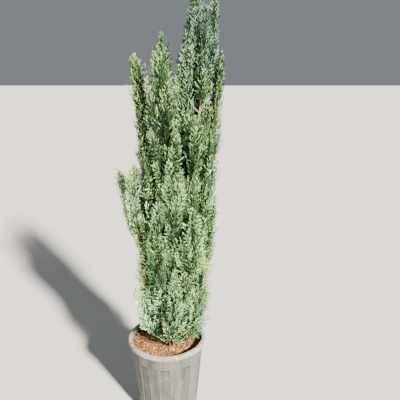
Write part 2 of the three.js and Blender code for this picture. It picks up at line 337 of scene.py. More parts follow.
container_material, shade = new_material("bleached_polypropylene")
place = shade.node("TexCoord", output=3)
across, away, height = (place.node("SeparateXYZ", None, {"Vector": place}, output=i) for i in range(3))
# How far a point of the wall lies inside the panel nearest to it, in metres
panel_turn = across.math("FRACT", across.math("ARCTAN2", away, across) * (panel_count / (2 * math.pi)))
turn_off_middle = across.math("ABSOLUTE", panel_turn - 0.5) * (2 * math.pi / panel_count)
from_middle = across.math("SQRT", across * across + away * away)
sideways = turn_off_middle * from_middle
share = across.math("MINIMUM", sideways / (panel_width / 2), 1.0)
panel_top = across.math("SQRT", 1.0 - share * share) * panel_arch + panel_shoulder
inside_panel = across.math("MINIMUM", panel_width / 2 - sideways, panel_top - height)
inside_panel = across.math("MINIMUM", inside_panel, height - panel_foot)
groove = inside_panel.between(-0.0004, 0.0006) * (1.0 - inside_panel.between(0.0010, 0.0032))
bead = inside_panel.between(-0.0042, -0.0026) * (1.0 - inside_panel.between(-0.0020, -0.0008))
on_wall_mask = 1.0 - height.between(0.308, 0.314)

# Noise of several sizes, and where on the wall each kind of wear, and the painted shadow, lies
bands = place.stretched(24, 24, 2.0).noise(1.0, 2, 0.5)
streaks = place.stretched(90, 90, 9).noise(1.0, 4, 0.6)
clouds = place.noise(15, 5, 0.62)
grit = place.noise(420, 3, 0.6)
splashes = place.noise(46, 5, 0.7)
wear = place.noise(75, 5, 0.7)
under_arch = height.between(panel_shoulder - 0.006, panel_shoulder + 0.001)
# Groove dirt, deepened under the arches as painted shadow, and a painted shadow under each panel's arched top
groove_dirt_and_shadow = groove * on_wall_mask * (0.55 + under_arch * 1.4) * (0.5 + clouds.between(0.4, 0.6) * 0.5)
in_panel = inside_panel.between(-0.0006, 0.0012) * on_wall_mask
painted_shadow_under_arch = in_panel * (1.0 - inside_panel.between(0.0035, 0.0075)) * under_arch
between_panels = on_wall_mask * (1.0 - in_panel)
on_lip = height.between(0.312, 0.320)
under_lip = height.between(0.300, 0.316)
at_foot = 1.0 - height.between(0.01, 0.12)
colour = layered(
    bands.between(0.38, 0.62).mixed(linear("43464a"), linear("5c5c5b")),
    [
        # the ribs paler and the panels darker: partly bleaching and dirt, partly painted light and shade
        (between_panels * (0.08 + bands.between(0.40, 0.60) * 0.46), "736d63"),
        (in_panel * 0.32, "3c4347"),
        # clouds, streaks and rubbed places all over
        (clouds.between(0.40, 0.66) * 0.5, "5e5c58"),
        (streaks.between(0.50, 0.68) * 0.5, "484849"),
        (wear.between(0.54, 0.66) * clouds.between(0.44, 0.6) * 0.5, "a49d92"),
        # dirt and painted shadow in the grooves, painted shadow under the arches' edges, and the beads rubbed
        # pale
        (groove_dirt_and_shadow, "211f1d"),
        (painted_shadow_under_arch * 0.9, "1c1d1e"),
        (bead * on_wall_mask * clouds.between(0.35, 0.65) * 0.5, "aba69c"),
        # the mottled lip, with a little algae under it
        (on_lip * (0.40 + clouds.between(0.38, 0.62) * 0.5), "b3a898"),
        (on_lip * wear.between(0.50, 0.60) * 0.7, "d3cabb"),
        (on_lip * splashes.between(0.53, 0.62) * 0.6, "7d6a58"),
        (wear.between(0.57, 0.62) * under_lip * 0.3, "6f8a70"),
        # soil splashed on the foot, and fine grit
        (splashes.between(0.5, 0.62) * at_foot * 0.75, "75573e"),
        (grit.between(0.55, 0.7) * 0.3, "4c4943"),
    ],
)
relief = place.node("Bump", None, {"Strength": 0.2, "Distance": 0.0004, "Height": grit + wear})
sockets = {"Base Color": colour, "Roughness": 0.55 + clouds * 0.25, "Normal": relief}
surface(place, {**sockets, "Specular IOR Level": 0.35})

container = piece("container", tub_points, tub_faces, [container_material], smooth=True)


def weld(made):
    """Joins the points that lie in one place, such as those at a lathe's ends."""
    shell = bmesh.new()
    shell.from_mesh(made.data)
    bmesh.ops.remove_doubles(shell, verts=shell.verts, dist=1e-6)
    bmesh.ops.recalc_face_normals(shell, faces=shell.faces)
    shell.to_mesh(made.data)
    shell.free()


def box_faces(count):
    """Faces of boxes whose eight corners come from three nested loops, each from low to high."""
    box = np.array([(0, 1, 3, 2), (4, 6, 7, 5), (0, 4, 5, 1), (2, 3, 7, 6), (0, 2, 6, 4), (1, 5, 7, 3)])
    return (8 * np.arange(count)[:, None, None] + box).reshape(-1, 4)


weld(container)
cutter_points = []
for i in range(0, panel_count, 2):
    bearing = math.radians(360 / panel_count * (i + 0.5))
    out = np.array([math.cos(bearing), math.sin(bearing), 0])
    side = np.array([-math.sin(bearing), math.cos(bearing), 0])
    for far in slot_reach:
        for sideways in (-slot_width / 2, slot_width / 2):
            for level in slot_levels:
                cutter_points.append(tuple(out * far + side * sideways + np.array([0, 0, level])))
cutter_mesh = bpy.data.meshes.new("slot_cutter")
cutter_mesh.from_pydata(cutter_points, [], box_faces(len(cutter_points) // 8).tolist())
cutter = bpy.data.objects.new("slot_cutter", cutter_mesh)
bpy.context.scene.collection.objects.link(cutter)
weld(cutter)
cut = container.modifiers.new("slots", "BOOLEAN")
cut.operation = "DIFFERENCE"
cut.solver = "EXACT"
cut.object = cutter
depsgraph = bpy.context.evaluated_depsgraph_get()
container.data = bpy.data.meshes.new_from_object(container.evaluated_get(depsgraph))
container.modifiers.clear()
bpy.data.objects.remove(cutter)
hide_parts("pot")


# The potting mix: composted bark and peat, pressed down to 25 mm under the lip, with loose chips of bark
# and a few pale splinters on top.
mix_level = 0.310
mix_edge_level = 0.305
mix_flat_radius = 0.062
mix_edge_radius = 0.145
mix_foot = 0.005
mix_side_top = 0.296
mix_gap = 0.0008  # to the container's inner side
mix_settling = 0.001
mix_columns = 220
lump_depth = 0.0028
lump_sizes = (0.008, 0.034)  # shortest and longest
sunken_bearing = -0.8  # at the front right, where watering has washed it down
sunken_spread = 0.95  # in radians, as the bearing
sunken_depth = 0.014
sunken_radii = (0.085, 0.140)
trunk_foot = (0.014, 0.002)
foot_clearance = 0.027  # round the trunk, clear of chips
chip_count = 4200
chip_reach = 0.1415  # from the container's middle
chip_sizes = ((0.0058, 0.42), (0.0036, 0.35), (0.0020, 0.35))  # usual size along each side, and its spread
chip_size_limits = (0.001, 0.017)
chip_tilt = 0.38  # radians, usual
chip_lift = 0.25  # of the chip's own thickness
chip_tints = {"33241a": 16, "6f4529": 24, "a0683f": 26, "c48f60": 16, "e0b48a": 5, "8c8a4c": 5}
pale_chip = {"place": (0.026, -0.066), "size": (0.023, 0.015, 0.008), "tilt": 0.1, "tint": "d8a88f"}


def lumps(across, away, seed, shortest, longest, count=36):
    """Uneven ground: waves of random directions, with a depth of about 1 from top to bottom."""
    random = np.random.default_rng(seed)
    total = np.zeros_like(across)
    for _ in range(count):
        wave = 2 * math.pi / random.uniform(shortest, longest)
        turn = random.uniform(0, 2 * math.pi)
        shift = random.uniform(0, 2 * math.pi)
        total += np.cos(wave * (across * math.cos(turn) + away * math.sin(turn)) + shift)
    return total / math.sqrt(count) / 2


def mix_height(across, away):
    """The height of the mix's surface."""
    from_middle = np.hypot(across, away)
    edge = soft_step(mix_flat_radius, mix_edge_radius, from_middle)
    level = mix_level - mix_settling + (mix_edge_level - mix_level) * edge
    turned = np.arctan2(away, across) - sunken_bearing
    sunken = soft_step(*sunken_radii, from_middle) * np.exp(-((turned / sunken_spread) ** 2))
    return level - sunken_depth * sunken + lump_depth * lumps(across, away, 5, *lump_sizes)


mix_radius = inner_radius(mix_edge_level) - mix_gap
mix_rows = [(0, mix_foot), (inner_radius(mix_foot) - mix_gap, mix_foot), (mix_radius, mix_side_top)]
rows_under_top = len(mix_rows)
mix_rows += [(radius, mix_edge_level) for radius in np.linspace(mix_radius, 0, 64)]
mix_points, mix_faces = lathe(mix_rows, mix_columns)
on_top = np.arange(len(mix_points)) >= rows_under_top * mix_columns
mix_points[on_top, 2] = mix_height(mix_points[on_top, 0], mix_points[on_top, 1])

mix_material, shade = new_material("bark_and_peat_mix")
place = shade.node("TexCoord", output=3)
crumbs = place.noise(330, 5, 0.7)
patches = place.noise(38, 3, 0.6)
colour = crumbs.between(0.36, 0.68).mixed(linear("36251a"), linear("94694c"))
colour = layered(colour, [(patches.between(0.4, 0.7) * 0.5, "6c4a35")])
relief = place.node("Bump", None, {"Strength": 0.9, "Distance": 0.0016, "Height": crumbs})
surface(place, {"Base Color": colour, "Roughness": 0.95, "Normal": relief})
mix = piece("potting_mix_ground", mix_points, mix_faces, [mix_material], smooth=True)
weld(mix)
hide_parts("potting_mix")

random = np.random.default_rng(11)
chip_spots = []
while len(chip_spots) < chip_count:
    across, away = random.uniform(-chip_reach, chip_reach, 2)
    from_trunk = math.hypot(across - trunk_foot[0], away - trunk_foot[1])
    if math.hypot(across, away) < chip_reach and from_trunk > foot_clearance:
        chip_spots.append((across, away))
chip_spots = np.array([*chip_spots, pale_chip["place"]])
all_chips = len(chip_spots)
sides = [random.lognormal(math.log(size), spread, all_chips) for size, spread in chip_sizes]
sides = np.stack(sides, axis=1).clip(*chip_size_limits)
sides[-1] = pale_chip["size"]
yaw = random.uniform(0, 2 * math.pi, (all_chips, 1))
tilt = random.normal(0, chip_tilt, (all_chips, 1))
tilt[-1] = pale_chip["tilt"]
signs = np.array([[x, y, z] for x in (-1, 1) for y in (-1, 1) for z in (-1, 1)])
chip_corners = signs * sides[:, None, :] / 2 * random.uniform(0.55, 1.1, (all_chips, 8, 3))
along, wide, up = np.moveaxis(chip_corners, 2, 0)
leaned = along * np.cos(tilt) + up * np.sin(tilt)
chip_level = mix_height(chip_spots[:, 0], chip_spots[:, 1]) + chip_lift * sides[:, 2]
chip_points = np.stack(
    [
        leaned * np.cos(yaw) - wide * np.sin(yaw) + chip_spots[:, :1],
        leaned * np.sin(yaw) + wide * np.cos(yaw) + chip_spots[:, 1:],
        up * np.cos(tilt) - along * np.sin(tilt) + chip_level[:, None],
    ],
    axis=2,
)
weights = np.array(list(chip_tints.values())) / sum(chip_tints.values())
tint_of_chip = random.choice(len(chip_tints), all_chips, p=weights)
tint_of_chip[-1] = len(chip_tints)
chip_materials = [plain_material("bark_chip_" + t, t, 0.9, 0.2) for t in [*chip_tints, pale_chip["tint"]]]
chip_points = chip_points.reshape(-1, 3)
chips = piece("bark_chips", chip_points, box_faces(all_chips), chip_materials, np.repeat(tint_of_chip, 6))


# The trunk: one slim stem that leans to the viewer's right, with a flared foot. Its thin bark is fibrous
# and peels in long strips, red brown at the foot and paler and greyer further up.
trunk_cut = 0.3085  # hidden in the mix
trunk_tip_height = 1.640
crown_top = 1.872
trunk_lean = 0.142
trunk_bow = 0.014
trunk_foot_radius = 0.017
trunk_tip_radius = 0.003
trunk_taper = 0.8
flare_radius = 0.009
flare_height = 0.038
flare_top = 0.40
trunk_rows = (60, 330)  # under and over the flare's top
trunk_columns = 64
trunk_bark_depth = 0.12  # of the trunk's own radius
bark_strips = ((5, 0.35), (9, 0.4), (15, 0.25))  # pairs round a limb, and how far each kind stands out
bark_middle = 0.6  # of the strips' height


def trunk_point(height):
    share = (height - mix_level) / (crown_top - mix_level)
    sideways = trunk_lean * share + trunk_bow * math.sin(math.pi * share)
    return np.array([trunk_foot[0] + sideways, trunk_foot[1], height])


def trunk_radius(height):
    share = (height - mix_level) / (trunk_tip_height - mix_level)
    flare = flare_radius * math.exp(-(height - mix_level) / flare_height)
    return trunk_foot_radius + (trunk_tip_radius - trunk_foot_radius) * share**trunk_taper + flare


def unit(vectors):
    return vectors / np.linalg.norm(vectors, axis=-1, keepdims=True)


def limb(line, radii, columns, seed, relief):
    """Points and faces of a limb along a line of points. Its bark stands out in strips, by relief."""
    random = np.random.default_rng(seed)
    along = unit(np.gradient(line, axis=0))
    across = unit(np.array([0, 1, 0]) - along * along[:, 1:2])
    third = np.cross(along, across)
    turn = np.linspace(0, 2 * math.pi, columns, endpoint=False)
    travelled = np.concatenate([[0], np.cumsum(np.linalg.norm(np.diff(line, axis=0), axis=1))])
    bark = np.zeros((len(line), columns))
    for strips, strength in bark_strips:
        wander = random.uniform(0.8, 1.4) * np.sin(travelled * random.uniform(28, 55) + random.uniform(0, 6))
        wander += 0.6 * np.sin(travelled * random.uniform(90, 160) + random.uniform(0, 6))
        bark += strength * np.abs(np.sin(strips * turn[None, :] + wander[:, None]))
    grown = radii[:, None] * (1 + relief * (bark - bark_middle))
    ring = across[:, None, :] * np.cos(turn)[None, :, None] + third[:, None, :] * np.sin(turn)[None, :, None]
    points = (line[:, None, :] + ring * grown[:, :, None]).reshape(-1, 3)
    return points, ring_faces(len(line), columns)


def bark(name, groove, ridge, fleck):
    """A material of fibrous bark, pale grey green in the crown and darker in its top."""
    material, shade = new_material(name)
    place = shade.node("TexCoord", output=3)
    height = place.node("SeparateXYZ", None, {"Vector": place}, output=2)
    strips = place.stretched(420, 420, 34).noise(1.0, 4, 0.65)
    flecks = place.noise(260, 4, 0.65)
    layers = [
        (flecks.between(0.5, 0.68) * 0.45, fleck),
        (height.between(0.9, 1.2) * 0.9, "858d74"),
        (height.between(1.42, 1.52) * 0.85, "3a3a2a"),
    ]
    colour = layered(strips.between(0.36, 0.66).mixed(linear(groove), linear(ridge)), layers)
    relief = place.node("Bump", None, {"Strength": 0.7, "Distance": 0.0008, "Height": strips})
    surface(place, {"Base Color": colour, "Roughness": 0.88, "Normal": relief})
    return material


bark_material = bark("fibrous_bark", "4a3020", "8b6a4f", "a08a72")

flare_heights = np.linspace(trunk_cut, flare_top, trunk_rows[0], endpoint=False)
trunk_heights = np.concatenate([flare_heights, np.linspace(flare_top, trunk_tip_height, trunk_rows[1])])
trunk_line = np.array([trunk_point(height) for height in trunk_heights])
trunk_radii = np.array([trunk_radius(max(height, mix_level)) for height in trunk_heights])
trunk_points, trunk_faces = limb(trunk_line, trunk_radii, trunk_columns, 21, trunk_bark_depth)
trunk = piece("trunk_bark", trunk_points, trunk_faces, [bark_material], smooth=True)
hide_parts("trunk")


# The boughs: steep limbs as thick as a finger or a pencil, with one plume of foliage at the end of each.
# They grow by the solids' own rule: four rings of six, two to the plumes at the left edge, and the short
# stems of the leaders.
bough_root_radius = 0.0055
bough_tip_radius = 0.003
bough_bark_depth = 0.16  # of the bough's own radius
bough_steps = 48
bough_columns = 14
collar_share = 0.05  # of a bough's length, along which it is thicker at the trunk
stem_tip_radius = 0.0009
stem_bark_depth = 0.12
stem_steps = 40
stem_columns = 8
fork_share = 0.86  # of the front leader's own bough
fork_arms = ((0.066, -0.042), (0.056, 0.024))  # how far each rises and leans to the side
fork_radii = (0.0028, 0.0014)
fork_steps = 24
fork_columns = 10
bough_rise = 0.62  # how steeply a bough arrives at its plume
bough_heading = 0.35  # how far it leans the plume's foot outward
crown_foot = 0.018  # of the crown's middle line, to the right of the container's
crown_lean = 0.05  # to the right for each metre up
plume_lift = 0.4  # of the plume's height, that its axis goes straight on
full_share = 0.3  # of the axis, from where on the plume narrows
foot_spread = 0.5
tip_bluntness = 1.7
tip_fullness = 0.8
least_spread = 0.004
broad_tops = {"upper_6": 0.052, "upper": 0.044, "outlier": 0.036}
bearing_jitter = 6  # degrees
foot_jitter = 0.020
joint_gap = 0.0003  # between a bough's tip and its plume's stem
rings = {
    # bearing of the first, root, rise from root to root, foot, near, far, radius, splay and the six tips
    "skirt": (-88, 0.319, 0.003, 0.335, 0.070, 0.110, 0.071, 34, (0.700, 0.770, 0.740, 0.690, 0.775, 0.715)),
    "lower": (-118, 0.372, 0.020, 0.560, 0.092, 0.128, 0.063, 0, (0.990, 1.050, 1.030, 0.980, 1.060, 1.010)),
    "middle": (-88, 0.600, 0.020, 0.770, 0.092, 0.130, 0.063, 0, (1.260, 1.225, 1.300, 1.240, 1.290, 1.270)),
    "upper": (-120, 0.840, 0.020, 1.010, 0.086, 0.138, 0.061, 0, (1.540, 1.285, 1.495, 1.450, 1.505, 1.465)),
}
tip_leans = {"upper_6": 0.034, "leader_left": -0.014}  # away from the crown's middle
tip_shifts = {"upper_5": (-0.030, 0, 0), "middle_5": (0, 0, 0.06), "middle_6": (0, 0, 0.06)}
single_plumes = {
    # bearing, root, foot, tip, near, far, radius
    "outlier_low": (175, 0.520, 0.820, 1.052, 0.150, 0.232, 0.031),
    "outlier_high": (196, 0.575, 0.850, 1.080, 0.158, 0.168, 0.031),
    "leader_top": (20, 1.640, 1.640, 1.872, 0.000, 0.000, 0.034),
    "leader_left": (190, 1.150, 1.215, 1.740, 0.034, 0.034, 0.035),
    "leader_right": (4, 1.180, 1.240, 1.780, 0.036, 0.042, 0.035),
    "leader_front": (-58, 1.150, 1.290, 1.640, 0.044, 0.038, 0.038),
    "leader_back": (84, 1.135, 1.200, 1.690, 0.036, 0.032, 0.038),
}


def seeded(seed):
    """Numbers from 0 to 1, the same ones each time for one seed, and the same as the solids' own."""
    state = 7919 * seed + 101

    def following():
        nonlocal state
        state = state * 48271 % 2147483647
        return state / 2147483647

    following()
    following()
    return following


def crown_middle(height):
    return np.array([crown_foot + crown_lean * (height - mix_level), 0, height])


def bend(start, control, end, shares):
    """Points of a curve from start to end that leaves and arrives in the direction of control."""
    shares = np.asarray(shares)[:, None]
    return start * (1 - shares) ** 2 + control * 2 * shares * (1 - shares) + end * shares**2


def for_plume(name, table, usual):
    """What the table has for a plume, by how the plume's name begins."""
    return next((value for start, value in table.items() if name.startswith(start)), usual)


axis_shares = np.linspace(0, 1, 25)


class Plume:
    """One upright mass of foliage: its bough, its own axis and how wide it is at each share of it."""

    def __init__(self, name, bearing, root, foot, tip, near, far, radius, splay=0):
        self.name = name
        self.ring = name[: name.index("_")]
        self.bearing = bearing
        self.radius = radius
        self.splay = splay
        self.height = tip - foot
        middle = trunk_point if self.ring == "leader" else crown_middle
        away = np.array([math.cos(math.radians(bearing)), math.sin(math.radians(bearing)), 0])
        start = trunk_point(root)
        self.foot = middle(foot) + away * near
        self.tip = middle(tip) + away * (far + tip_leans.get(name, 0)) + tip_shifts.get(name, (0, 0, 0))
        heading = unit(self.tip - self.foot)
        if foot > root:
            heading = unit(heading + bough_heading * unit(self.foot - start))
        self.bough = (start, self.foot - heading * bough_rise * (foot - root), self.foot)
        self.start = self.foot + heading * joint_gap
        self.lift = self.start + heading * plume_lift * self.height
        self.samples = self.axis(axis_shares)
        self.widths = np.maximum(self.fullness(axis_shares), least_spread)

    def axis(self, shares):
        return bend(self.start, self.lift, self.tip, shares)

    def spread(self, shares):
        shares = np.asarray(shares, dtype=float)
        low = 1 if self.splay > 0 else foot_spread
        filled = low + (1 - low) * np.sin(math.pi / 2 * np.minimum(shares / full_share, 1))
        drawn_out = np.clip((shares - full_share) / (1 - full_share), 0, 1) ** tip_bluntness
        return self.radius * filled * (1 - drawn_out) ** tip_fullness

    def fullness(self, shares):
        """As spread, but some plumes stay broad almost to their tips."""
        shares = np.clip(shares, 0, 1)
        return np.maximum(self.spread(shares), for_plume(self.name, broad_tops, 0) * (1 - shares**6))


plumes = []
for ring, (first, root, whorl, foot, near, far, radius, splay, tips) in rings.items():
    for i, tip in enumerate(tips):
        chance = seeded(len(plumes))
        bearing = first + 60 * i + bearing_jitter * (2 * chance() - 1)
        own_foot = foot + (0 if splay > 0 else foot_jitter * (2 * chance() - 1))
        own_root = root + whorl * (i % 3)
        plumes.append(Plume(f"{ring}_{i + 1}", bearing, own_root, own_foot, tip, near, far, radius, splay))
for name, sizes in single_plumes.items():
    plumes.append(Plume(name, *sizes))


def joined(parts):
    """The points and faces of many small meshes as those of one."""
    firsts = np.cumsum([0] + [len(points) for points, _ in parts])
    faces = np.concatenate([faces + first for (_, faces), first in zip(parts, firsts)])
    return np.concatenate([points for points, _ in parts]), faces


bough_limbs = []
stem_limbs = []
for seed, plume in enumerate(plumes):
    if plume.name != "leader_top":
        shares = np.linspace(0, 1, bough_steps)
        radii = np.linspace(bough_root_radius, bough_tip_radius, bough_steps)
        radii *= 1 + 0.5 * np.exp(-shares / collar_share)
        bough_limbs.append(limb(bend(*plume.bough, shares), radii, bough_columns, 40 + seed, bough_bark_depth))
    stem_line = plume.axis(np.linspace(0, 0.97, stem_steps))
    stem_radii = np.linspace(bough_tip_radius, stem_tip_radius, stem_steps)
    stem_limbs.append(limb(stem_line, stem_radii, stem_columns, 80 + seed, stem_bark_depth))

# The pale fork that shows in the crown's front: two bare side limbs of the front leader's bough
front = next(plume for plume in plumes if plume.name == "leader_front")
fork = bend(*front.bough, [fork_share])[0]
for rise, lean in fork_arms:
    control = fork + np.array([0.75 * lean, -0.006, 0.4 * rise])
    arm = bend(fork, control, fork + np.array([lean, -0.012, rise]), np.linspace(0, 1, fork_steps))
    bough_limbs.append(limb(arm, np.linspace(*fork_radii, fork_steps), fork_columns, 7, stem_bark_depth))

bough_material = bark("young_bark", "2b2418", "51452f", "6a5d45")
boughs = piece("bough_bark", *joined(bough_limbs), [bough_material], smooth=True)
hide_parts(*[f"bough_{plume.name}" for plume in plumes if plume.ring != "leader"])


# The foliage: flat ferny sprays of scale-leaved shoots, held upright round each plume's stem by the golden
# angle. Bloom makes the low ones blue green. Higher up they are olive with a few tan tips, and the leaders
# are a darker green.
golden_angle = 137.508
spray_pitch = 0.0031  # along a plume's axis
skirt_spray_pitch = 0.0027
dressed_from = 0.015  # of a plume's axis
dressed_length = 0.955
low_spray_angle = 34
high_spray_angle = 14
splay_angle = 0.7  # of a plume's splay, added to the low sprays' angle
spray_lead = 0.1
roll_range = 1.2  # radians
angle_scatter = 5  # degrees
reach_range = (0.72, 1.10)  # of what fills the plume
usual_space = 1.25  # of a plume's width
space_limits = {"skirt": 0.98, "upper": 1.7, "leader_left": 0.68, "leader_right": 0.85}
slim_top = 1.66  # over it every plume has the usual space
ring_reach = {"lower": 1.12, "middle": 1.12, "upper": 1.45}  # times the plume's width
limit_heights = (0.40, 0.62, 0.84, 1.10, 1.31, 1.50)
right_limits = (0.140, 0.154, 0.178, 0.163, 0.160, 0.148)  # from the crown's middle line
left_limits = (0.156, 0.156, 0.156, 0.156, 0.172, 0.192)
across_limit = 0.158  # to the front and back
# The under sprays' darker tints are painted shade
under_share = {"skirt": 0.44, "lower": 0.50, "upper_6": 0.2, "outlier": 0.12}  # darker and shorter sprays
usual_under_share = 0.52
under_reach = 0.82
least_reach = 0.030
ring_reach_top = 0.85  # of a plume's axis
tip_rise = 0.016  # of a spray over its plume's tip
hem_rise = 0.009  # over the mix
hem_radius = 0.025  # round the trunk's foot
hem_slope = 0.55
lip_clearance = 0.003
fan_scatter = 22  # degrees, of the flat plumes at the left edge
fan_step = 60
turns = 5  # that a spray tries
shortenings = 4
shrink_step = 0.17  # of the spray's full reach
spray_lengths = (0.034, 0.048, 0.066, 0.088, 0.112, 0.140)
variants = 4
first_side_twig = 0.08  # of the spray's length
last_side_twig = 0.97
side_twig_pitch = 0.0082
side_twig_share = 0.35  # of the spray's length
longest_side_twig = 0.034
shortest_side_twig = 0.006
side_twig_width = 0.0026
side_twig_angle = 38
side_twig_closing = 12  # less by this at the tip
shoot_pitch = 0.0042
shoot_length = 0.0088
shoot_width = 0.0029
shoot_angle = 13
part_limits = (0.20, 0.45)  # where a spray's body and its outer part begin
upward_bend = 0.20  # at the tip, of the spray's length
# Places along and across a spray that are tested for room, in shares of its length
test_outline = ((0.3, 0.14), (0.45, 0.23), (0.45, -0.23), (0.75, 0.17), (0.75, -0.17), (1.0, 0.0))
tints = {
    "shade_green": "08190d",
    "deep_mint": "18402a",
    "mint": "80ae82",
    "bloom": "c8f6ae",
    "deep_leaf": "123818",
    "leaf": "5c8459",
    "pale_leaf": "b2de97",
    "deep_olive": "16301a",
    "olive": "42643e",
    "pale_olive": "9cc480",
    "tan": "8c8a5e",
    "leader_green": "2f4e36",
    "pale_leader": "75987f",
    "dead_brown": "54432f",
    "rust": "8a6650",
    "pale_rust": "b0947c",
    "sunlit": "708f50",
    "pale_sunlit": "b2cf7a",
}
tint_names = list(tints)
# Inner, body and outer tint of a spray, up to each height
# The inner tint is painted shade; the outer one is partly the paler young tips and partly painted highlight
palettes = [
    (0.67, ("deep_mint", "mint", "bloom")),
    (1.06, ("deep_leaf", "leaf", "pale_leaf")),
    (1.16, ("deep_olive", "leaf", "pale_leaf")),
    (2.00, ("deep_olive", "olive", "pale_olive")),
]
leader_palette = ("shade_green", "leader_green", "pale_leader")
leader_foot = 1.40
tint_scatter = 0.085  # metres up or down
tan_share = 0.05
tan_foot = 1.0
tan_top_share = 0.2
tan_top_foot = 1.42
dead_share = 0.003
one_tint_share = 0.25  # of sprays without paler tips

# Openings where the dark inside of the crown shows, or the fork. Each is a place on the upright plane
# through the container's middle, as the view sees it, and half its width and height.
openings = [
    (-0.070, 0.920, 0.015, 0.066),
    (0.085, 1.045, 0.018, 0.028),
    (0.090, 0.855, 0.012, 0.020),
    (0.141, 1.264, 0.027, 0.045),
]
opening_depth = -0.02  # how far back an opening goes, along Y
shaded_depth = -0.042  # the same for the sprays in the shade
# Places of the same kind where dry, rusty sprays show among the green ones
rusty_spots = [(-0.002, 1.236, 0.024, 0.034)]
rusty_share = 0.5
# and where they are painted yellower and paler, as if standing in the sun
left_edge_spot = (-0.115, 0.950, 0.024, 0.130)
sunlit_spots = [
    left_edge_spot,
    (-0.105, 0.700, 0.032, 0.170),
    (0.178, 0.660, 0.032, 0.130),
    (0.104, 0.350, 0.036, 0.040),
]
sunlit_tints = ("olive", "sunlit", "pale_sunlit")
sunlit_depth = 0.03  # how far back they stand, along Y


def grow_spray(length, random):
    """The shoots of one flat spray along X, in rows of start, heading, length, width, roll and part."""
    shoots = []
    side = 1
    reach = first_side_twig * length
    while reach < last_side_twig * length:
        share = reach / length
        side = -side
        fullness = min(1, (share + 0.10) / 0.36) * (1 - share) ** 0.7
        twig = min(side_twig_share * length, longest_side_twig) * fullness
        twig = twig * random.uniform(0.62, 1.2) + shortest_side_twig
        angle = side * math.radians(random.normal(side_twig_angle - side_twig_closing * share, 7))
        paler = random.normal(0, 0.21)
        heading = np.array([math.cos(angle), math.sin(angle), random.normal(0, 0.12)])
        start = np.array([reach, 0, 0])
        shoots.append((*start, *heading, twig, side_twig_width, 0, 0.2 * share + 0.3 + paler))
        leaf_side = side
        travelled = 0.0025
        while travelled < twig - 0.002:
            leaf_side = -leaf_side
            turned = angle + leaf_side * math.radians(random.normal(shoot_angle, 4))
            leaf_heading = (math.cos(turned), math.sin(turned), random.normal(0, 0.22))
            grown = shoot_length * (1 - 0.35 * travelled / twig) * random.uniform(0.85, 1.15)
            roll = random.normal(0, 0.4)
            part = 0.25 * share + 0.75 * travelled / twig + paler
            shoots.append((*(start + heading * travelled), *leaf_heading, grown, shoot_width, roll, part))
            travelled += shoot_pitch
        tip = start + heading * (twig - 0.003)
        roll = random.normal(0, 0.3)
        shoots.append((*tip, *heading, 0.95 * shoot_length, shoot_width, roll, 0.25 * share + 0.75 + paler))
        reach += side_twig_pitch * random.uniform(0.85, 1.15)
    shoots.append((0.90 * length, 0, 0, 1, 0, 0, 0.10 * length + 0.003, shoot_width, 0, 1))
    return np.array(shoots)


def shoot_points(shoots):
    """Four points for each shoot, which is folded along its midrib: base, right flank, tip, left flank."""
    starts, headings = shoots[:, :3], unit(shoots[:, 3:6])
    lengths, widths, rolls = (shoots[:, i : i + 1] for i in (6, 7, 8))
    flank = unit(np.cross(np.array([0, 0, 1.0]), headings))
    back = np.cross(headings, flank)
    wide = flank * np.cos(rolls) + back * np.sin(rolls)
    down = flank * np.sin(rolls) - back * np.cos(rolls)
    middle = starts + headings * lengths * 0.42 + down * widths * 0.3
    tips = starts + headings * lengths
    return np.stack([starts, middle - wide * widths / 2, tips, middle + wide * widths / 2], axis=1)


class SprayPattern:
    """A grown spray, ready to be set in many places."""

    def __init__(self, length, seed):
        random = np.random.default_rng(seed)
        shoots = grow_spray(length, random)
        self.length = length
        self.points = shoot_points(shoots).reshape(-1, 3)
        self.points[:, 1] += random.normal(0, 0.10) * self.points[:, 0] ** 2 / length
        self.points[:, 2] += random.normal(0, 0.05) * self.points[:, 0] ** 2 / length
        first_points = 4 * np.arange(len(shoots))[:, None, None]
        self.faces = (first_points + np.array([(0, 1, 2), (0, 2, 3)])).reshape(-1, 3)
        reached = shoots[:, 9] + random.normal(0, 0.03, len(shoots))
        self.part_of_face = np.repeat(np.searchsorted(part_limits, reached), 2)


patterns = [
    SprayPattern(length, 300 + 10 * i + variant)
    for i, length in enumerate(spray_lengths)
    for variant in range(variants)
]
all_samples = np.array([plume.samples for plume in plumes])
all_widths = np.array([plume.widths for plume in plumes])


def keeps_to_its_space(own, points):
    """True if all the points lie in the plume's own space, nearer its axis than any other's."""
    away = np.linalg.norm(points[:, None, None, :] - all_samples[None], axis=3) / all_widths[None]
    share_out = away.min(axis=2)
    mine = share_out[:, own]
    others = np.delete(share_out, own, axis=1).min(axis=1)
    limit = usual_space
    if points[-1][2] <= slim_top:
        limit = for_plume(plumes[own].name, space_limits, usual_space)
    return bool(np.all(mine < limit) and np.all(others > mine))


def hem(points):
    """The lowest height that foliage may hang to: it rises from the trunk's foot, least at the front right."""
    across = points[:, 0] - trunk_foot[0]
    away = points[:, 1] - trunk_foot[1]
    bearing = np.arctan2(away, across)
    low_side = np.exp(-(((bearing + 0.75) / 0.60) ** 2))
    high_side = np.clip(-np.cos(bearing + 0.3), 0, 1)
    slope = hem_slope - 0.30 * low_side + 0.45 * high_side
    return mix_level + hem_rise + slope * np.maximum(np.hypot(across, away) - hem_radius, 0)


def shows_in(spots, points):
    """True if one of the points lies in one of these places, as the view sees it."""
    scale = view_place[1] / (view_place[1] - points[:, 1])
    across = view_place[0] + (points[:, 0] - view_place[0]) * scale
    height = view_place[2] + (points[:, 2] - view_place[2]) * scale
    for middle, level, half_width, half_height in spots:
        if np.any(((across - middle) / half_width) ** 2 + ((height - level) / half_height) ** 2 < 1):
            return True
    return False


